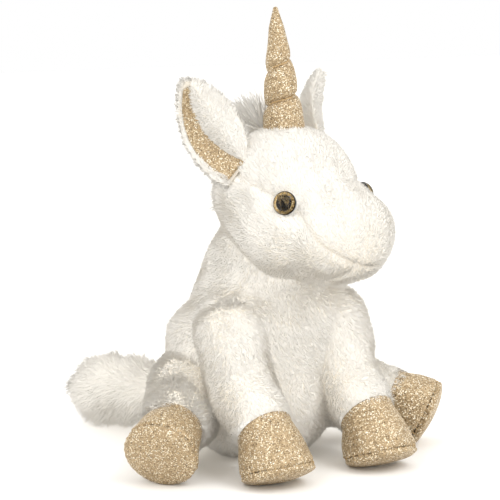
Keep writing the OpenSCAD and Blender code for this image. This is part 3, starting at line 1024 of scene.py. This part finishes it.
ear_way = turned("Z", 45) @ turned("Y", 29)
for side, seed in (("left", 70), ("right", 73)):
    body = "ear_" + side
    flip = np.array([1 if side == "left" else -1, 1, 1])

    def on_ear(skin):
        skin = skin.moved(ear_way, ear_root)
        return (skin if side == "left" else skin.mirrored()).moved(head_way, neck_at)

    def in_ear(at):
        return (((at - neck_at) @ head_way) * flip - ear_root) @ ear_way

    def ear_trim(at):
        """No pile under the gold lining, and shorter pile beside it."""
        x, y, z = in_ear(at).T
        share = np.clip((z - EAR_LOW) / EAR_LEN, 0, 1)
        inner, outer = lining_sides(share)
        gap = np.maximum(inner - x, x - outer)
        front = y < ear_curve(x, z) + 1.5
        return np.where(front, ease(gap, -0.6, 1.8), 1)

    def ear_fan(at):
        low = (np.array([0, 0, -22.0]) @ ear_way.T + ear_root) * flip @ head_way.T + neck_at
        return unit(at - low)

    leaf = on_ear(ear_plush())
    shell_piece = capped(f"ear_{side}_back", leaf, EAR_SIDES, plush_backing)
    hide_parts(f"ear_back_{side}")
    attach(shell_piece, body)
    hair = pile(f"ear_{side}_pile", leaf, ear_fan, seed, length=4.6, per_mm2=5, lean=0.6,
                trim=ear_trim)
    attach(hair, body)
    lining = ear_lining()
    lining.press(0.5 * sway(lining.at, 12, seed + 2)[:, 0])
    gold_piece(on_ear(lining).cloth(f"ear_{side}_lining", gold_cloth, 0.8), body,
               [f"ear_lining_{side}"])

# ---- Horn ----
# A cone of gold glitter cloth, stuffed, and pinched in a spiral by a gold thread that
# is pulled tight round it three times. The cloth swells between the turns.

horn_at = pivot["horn_bend"]
horn_way = head_way @ turned("X", -6)
HORN_LEN, HORN_TIP_R, HORN_SIDES = 79, 1.3, 96
THREAD_LOW, THREAD_RISE = 19.0, 22.5


def horn_radius(height):
    return np.interp(height, [0, 16, 30, 51, 66, HORN_LEN - HORN_TIP_R],
                     [13.4, 11.9, 10.3, 7.2, 4.7, HORN_TIP_R])


def thread_turn(angle):
    """The thread's turns at an angle: it climbs slowly over the front and fast behind."""
    from_front = angle + 0.75 * math.pi
    return (from_front - 0.55 * np.sin(from_front)) / (2 * math.pi)


def thread_gap(angle, height):
    """How far, in turns, a place is from the thread's line round the horn."""
    turn = (height - THREAD_LOW) / THREAD_RISE - thread_turn(angle)
    return turn - np.round(turn)


def thread_pull(height):
    """How hard the thread is drawn in at a height, from 0 to 1."""
    return ease(height, 5, 13) * (1 - ease(height, 47, 57))


heights = np.linspace(-7, HORN_LEN - HORN_TIP_R, 130)
profile = [(horn_radius(height) + 0.3, height) for height in heights]
profile += [
    ((HORN_TIP_R + 0.3) * math.cos(turn), HORN_LEN - HORN_TIP_R + HORN_TIP_R * math.sin(turn))
    for turn in np.linspace(0.2, 1.5, 8)
]
profile_z = np.array(profile)[:, 1:2]


def pinched(angle, share):
    gap = thread_gap(angle, profile_z)
    groove = 0.17 * np.exp(-(gap / 0.06) ** 2) + 0.14 * np.exp(-(gap / 0.2) ** 2)
    puckers = 0.022 * np.sin(angle * 11 + 0.35 * profile_z) * np.exp(-(gap / 0.2) ** 2)
    return 1 - thread_pull(profile_z) * (groove - 0.02 + puckers)


horn = rings(profile, HORN_SIDES, pinched)
horn.at += 0.25 * sway(horn.at, 14, 80)
horn.normals = horn.slopes()
horn = horn.moved(horn_way, horn_at)
gold_piece(capped("horn_cloth", horn, HORN_SIDES, gold_cloth), "horn", ["horn_cover"])


def drawn_in(at):
    """The filling is squeezed to the width that the thread leaves it."""
    at = (at - horn_at) @ horn_way
    up = ease(at[:, 2], 0, 12)[:, None]
    at = at * (1 - up * [0.42, 0.42, 0.07])
    return at @ horn_way.T + horn_at


wadding("horn_wadding", "horn_stuffing", "horn", 81, drawn_in)


def thread_surface(wire):
    strand = wire.node(
        "ShaderNodeTexWave", {"bands_direction": "DIAGONAL"},
        {"Vector": wire.node("ShaderNodeTexCoord", out="Object"), "Scale": 900, "Distortion": 0.5},
        "Fac",
    )
    return {
        "Base Color": strand.mix((0.36, 0.23, 0.10), (0.72, 0.54, 0.30)),
        "Metallic": 0.4, "Roughness": 0.4 + 0.2 * strand, "Normal": wire.bump(strand, 0.1),
    }


thread_finish = finish("gold_thread", thread_surface)


def strand_along(line, radius, sides=8):
    """A closed round strand that follows a line of places, as corners and faces."""
    line = np.array(line, float)
    ahead = unit(np.gradient(line, axis=0))
    across = np.zeros_like(line)
    last = unit(np.cross(ahead[0], [0.31, 0.2, 0.93]))
    for k, step in enumerate(ahead):
        last = unit(last - step * (last @ step))
        across[k] = last
    lift = np.cross(ahead, across)
    angle = np.arange(sides) * 2 * math.pi / sides
    at = (line[:, None] + radius * (np.cos(angle)[None, :, None] * across[:, None]
                                    + np.sin(angle)[None, :, None] * lift[:, None]))
    at = np.concatenate([at.reshape(-1, 3), line[:1] - ahead[:1] * radius, line[-1:] + ahead[-1:] * radius])
    low = np.arange(len(line) - 1)[:, None] * sides
    here, after = np.arange(sides), (np.arange(sides) + 1) % sides
    quads = np.stack([low + here, low + after, low + after + sides, low + here + sides], 2)
    end = len(line) * sides
    caps = np.concatenate([
        np.stack([after, here, np.full(sides, end)], 1),
        np.stack([end - sides + here, end - sides + after, np.full(sides, end + 1)], 1),
    ])
    return at, quads.reshape(-1, 4), caps


wound_angle = np.linspace(-1.5 * math.pi, 2.1 * math.pi, 260)
wound_z = THREAD_LOW + THREAD_RISE * thread_turn(wound_angle)
wound_r = (horn_radius(wound_z) + 0.3) * (1 - 0.29 * thread_pull(wound_z)) + 0.1
wound = np.stack([wound_r * np.cos(wound_angle), wound_r * np.sin(wound_angle), wound_z], 1)
thread_at, thread_quads, thread_caps = strand_along(wound @ horn_way.T + horn_at, 0.4)
thread = mesh_of("horn_thread_strand", thread_at, thread_quads, thread_caps, material=thread_finish)
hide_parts("horn_thread")
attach(thread, "horn")

# ---- Front legs ----
# Stuffed plush tubes sewn in at the shoulders, bent a little at the knee. Each ends in
# a flared hoof of gold glitter cloth, with a stuffed sole stitched round its edge.

LEG_R = 21.0
knee = shoulder - 33 * np.array([0, math.sin(math.radians(16)), math.cos(math.radians(16))])
front_ankle = knee - 41 * np.array([0, math.sin(math.radians(48)), math.cos(math.radians(48))])
HOOF_TOP_R, HOOF_SOLE_R, HOOF_LEN, SOLE_RISE = 18.6, 24.0, 24.0, 8.0
HOOF_SIDES, WALL_ROWS, SOLE_ROWS = 150, 36, 26
SEAM_STITCHES = 30


def axes_along(way, level=(1, 0, 0)):
    """The matrix of axes whose Z runs along way and whose X lies towards level."""
    z = unit(np.array(way, float))
    x = unit(np.array(level, float) - z * (z @ np.array(level, float)))
    return np.stack([x, np.cross(z, x), z], 1)


def hoof(name, ankle, sole_at, top_axes, sole_axes, body, nodes, seed, mirror=False):
    """A hoof from its ankle to the middle of its sole, as an upper, a sole and a seam."""
    angle = np.arange(HOOF_SIDES) * 2 * math.pi / HOOF_SIDES
    circle = np.stack([np.cos(angle), np.sin(angle), 0 * angle], 1)
    draw = np.random.default_rng(seed)
    pull = 0.7 + 0.6 * draw.random(SEAM_STITCHES)
    stitch_pull = pull[(angle * SEAM_STITCHES / (2 * math.pi)).astype(int) % SEAM_STITCHES]

    def ring(share, radius, rise=0.0):
        mixed = top_axes * (1 - share) + sole_axes * share
        middle = ankle * (1 - share) + sole_at * share + sole_axes[:, 2] * rise
        return middle + (circle * np.reshape(radius, (-1, 1))) @ mixed.T

    upper = []
    for share in np.linspace(-0.12, 1, WALL_ROWS):
        flare = max(share, 0)
        radius = HOOF_TOP_R + (HOOF_SOLE_R - HOOF_TOP_R) * flare ** 1.1
        radius += 1.1 * math.sin(math.pi * flare) * (1 - 0.5 * flare)
        tuck = 1.3 * math.exp(-((1 - share) / 0.05) ** 2)
        pucker = 0.42 * math.exp(-((1 - share) / 0.17) ** 2)
        upper.append(ring(share, radius - tuck - pucker * stitch_pull * np.cos(SEAM_STITCHES * angle)))
    upper = np.array(upper)
    steps = np.arange(len(upper) - 1)[:, None] * HOOF_SIDES
    here, after = np.arange(HOOF_SIDES), (np.arange(HOOF_SIDES) + 1) % HOOF_SIDES
    faces = np.stack(
        [steps + here, steps + after, steps + after + HOOF_SIDES, steps + here + HOOF_SIDES], 2
    ).reshape(-1, 4)
    wall = Skin(upper.reshape(-1, 3), faces)
    wall.at += 0.45 * sway(wall.at, 13, seed) * ease(np.linspace(0, 1, WALL_ROWS), 0, 0.2).repeat(
        HOOF_SIDES)[:, None]
    wall.normals = wall.slopes()

    sole = []
    for turn in np.linspace(0, math.pi / 2, SOLE_ROWS):
        puff = HOOF_SOLE_R - 1.3 + 1.7 * ease(turn, 0, 0.35)
        radius = puff * math.cos(turn) ** 0.8 if turn < 1.57 else 0.15
        rise = 0.2 + SOLE_RISE * 0.95 * math.sin(turn) ** 0.8
        pucker = 0.5 * math.exp(-(turn / 0.30) ** 2)
        sole.append(ring(1, max(radius, 0.15) - pucker * stitch_pull * np.cos(SEAM_STITCHES * angle)
                         * (turn < 1.5), rise))
    sole = np.array(sole)
    base = Skin(sole.reshape(-1, 3), faces[: (len(sole) - 1) * HOOF_SIDES])
    base.at += 0.35 * sway(base.at, 12, seed + 1) * ease(np.linspace(0, 1, SOLE_ROWS), 0, 0.3).repeat(
        HOOF_SIDES)[:, None]
    base.normals = base.slopes()
    lines = []
    for k in range(SEAM_STITCHES):
        turn = 2 * math.pi * (k + 0.5) / SEAM_STITCHES
        spot = np.array([math.cos(turn), math.sin(turn), 0])
        along = np.linspace(-1, 1, 7)[:, None]
        slant = np.array([-math.sin(turn), math.cos(turn), 0]) * 0.5
        hump = 0.7 * (1 - along ** 2)
        local = (spot * (HOOF_SOLE_R - 1.6 + hump) + slant * along
                 + np.array([0, 0, 1.0]) * along * 1.5 + np.array([0, 0, 0.1]))
        lines.append(local @ sole_axes.T + sole_at)
    if mirror:
        wall, base = wall.mirrored(), base.mirrored()
        lines = [line * np.array([-1, 1, 1]) for line in lines]
    for skin in (wall, base):
        skin.at[:, 2] = np.maximum(skin.at[:, 2], 0.35)
    piece = wall.cloth(name + "_upper", gold_cloth, 0.9)
    gold_piece(piece, body, nodes[:1])
    piece = capped(name + "_sole", base, HOOF_SIDES, gold_cloth)
    gold_piece(piece, body, nodes[1:])
    parts = [strand_along(line, 0.3, 6) for line in lines]
    count = len(parts[0][0])
    seam_at = np.concatenate([part[0] for part in parts])
    seam_at[:, 2] = np.maximum(seam_at[:, 2], 0.3)
    seam = mesh_of(
        name + "_stitches", seam_at,
        np.concatenate([part[1] + k * count for k, part in enumerate(parts)]),
        np.concatenate([part[2] + k * count for k, part in enumerate(parts)]),
        material=thread_finish,
    )
    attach(seam, body)


front_hoof_way = np.array([0, -math.sin(math.radians(35)), -math.cos(math.radians(35))])
front_sole_way = np.array([0, -math.sin(math.radians(21)), -math.cos(math.radians(21))])
front_sole_at = front_ankle + HOOF_LEN * front_hoof_way
front_top_axes = axes_along(front_ankle - knee)
front_sole_axes = axes_along(front_sole_way)


def leg_nap(start, end):
    return lambda at: np.tile(unit(np.array(end) - np.array(start)), (len(at), 1))


front_leg = stretched_over(np.concatenate([
    row_of((*shoulder, 22.3), (*(shoulder * 0.45 + knee * 0.55), 21.4), (*knee, LEG_R)),
    row_of((*knee, LEG_R), (*(knee * 0.4 + front_ankle * 0.6), 20.4), (*(
        front_ankle - 8 * unit(front_ankle - knee)), 18.4)),
]), 10)
front_leg.press(0.8 * sway(front_leg.at, 20, 90)[:, 0])


def hoof_edge_trim(ankle, hoof_way, room):
    """Leaves out the pile inside the hoof or the torso, and ruffles its edge at the hoof."""

    def trim(at):
        past = (at - ankle) @ hoof_way + 1.6 * sway(at, 6, 97)[:, 0]
        return np.where((past > 1.5) | (depth_in(at, room) > 0), 0, 1)

    return trim


front_room = row_of((0, 8, 50, 30), (0, 3, 92, 22))
for side, mirror, seed in (("left", False, 91), ("right", True, 95)):
    flip = np.array([-1 if mirror else 1, 1, 1])
    body = "front_leg_" + side
    skin = front_leg.mirrored() if mirror else front_leg
    cover(f"{body}_cover", skin, body, [body + "_skin"], seed,
          leg_nap(knee * flip, (front_ankle + [0, -6, -8]) * flip),
          trim=hoof_edge_trim(front_ankle * flip, unit(front_ankle - knee), front_room),
          length=4.4)
    wadding(f"{body}_wadding", body + "_stuffing", body, seed + 1)
    hoof(f"front_hoof_{side}", front_ankle, front_sole_at, front_top_axes, front_sole_axes, body,
         [f"front_hoof_{side}_upper", f"front_hoof_{side}_sole"], seed + 2, mirror)

# ---- Hind legs ----
# Thicker stuffed tubes sewn in at the hips. They lie forward and out to the sides, so
# that the round soles of their hooves face out and up.

hind_way = np.array([
    math.cos(math.radians(40)) * math.cos(math.radians(25)),
    -math.sin(math.radians(40)) * math.cos(math.radians(25)), -math.sin(math.radians(25)),
])
hind_sole_z = HOOF_SOLE_R * math.cos(math.radians(25))
hind_ankle = np.array([86, -19, hind_sole_z + HOOF_LEN * math.sin(math.radians(25))])
hind_axes = axes_along(hind_way, (math.sin(math.radians(40)), math.cos(math.radians(40)), 0))
thigh = hip * 0.55 + hind_ankle * 0.45
hind_leg = stretched_over(np.concatenate([
    row_of((*hip, 25), (*(hip + [0, 2, 10]), 24)),
    row_of((*hip, 25), (*thigh, 23.4), (*(hind_ankle - 6 * unit(hind_ankle - hip)), 19.5),
           (*(hind_ankle - 2 * hind_way), 18.2)),
]), 10)
hind_leg.at[:, 2] = np.maximum(hind_leg.at[:, 2], 1.5)
hind_leg.press(0.9 * sway(hind_leg.at, 20, 100)[:, 0] * ease(hind_leg.at[:, 2], 2, 9))
hind_room = row_of((0, 14, 42, 34), (0, 8, 70, 28))
for side, mirror, seed in (("left", False, 101), ("right", True, 105)):
    flip = np.array([-1 if mirror else 1, 1, 1])
    body = "hind_leg_" + side
    skin = hind_leg.mirrored() if mirror else hind_leg
    cover(f"{body}_cover", skin, body, [body + "_skin"], seed,
          leg_nap(hip * flip, hind_ankle * flip),
          trim=hoof_edge_trim(hind_ankle * flip, hind_way * flip, hind_room), length=4.4)
    wadding(f"{body}_wadding", body + "_stuffing", body, seed + 1)
    hoof(f"hind_hoof_{side}", hind_ankle, hind_ankle + HOOF_LEN * hind_way, hind_axes, hind_axes,
         body, [f"hind_hoof_{side}_upper", f"hind_hoof_{side}_sole"], seed + 2, mirror)

# ---- Tail ----
# A stuffed tube of long-pile plush sewn in low on the rump. Its pile is three times as
# long as the body's and stands out all round in a soft tuft.

tail_root = pivot["tail_wag"]
tail_way = np.array([-math.sin(math.radians(40)), math.cos(math.radians(40)), 0])
tail_end = tail_root + 78 * tail_way
tail = stretched_over(row_of((*tail_root, 10.5), (*(tail_root + 30 * tail_way), 14.5),
                             (*tail_end, 17.5)), 8)
tail.press(0.8 * sway(tail.at, 14, 110)[:, 0])
tail_piece = tail.cloth("tail_cover", plush_backing)
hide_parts("tail_skin")
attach(tail_piece, "tail")


def tail_trim(at):
    along = (at - tail_root) @ tail_way
    return np.where(along < -3, 0, 0.45 + 0.55 * ease(along, 5, 50))


tail_hair = pile("tail_pile", tail, lambda at: np.tile(tail_way, (len(at), 1)), 111, length=12,
                 per_mm2=3.4, width=0.8, steps=2, lean=1.1, tuft=4.5, gather=0.7, spread=0.3,
                 droop=0.16, trim=tail_trim, material=mane_pile)
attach(tail_hair, "tail")
wadding("tail_wadding", "tail_stuffing", "tail", 112)
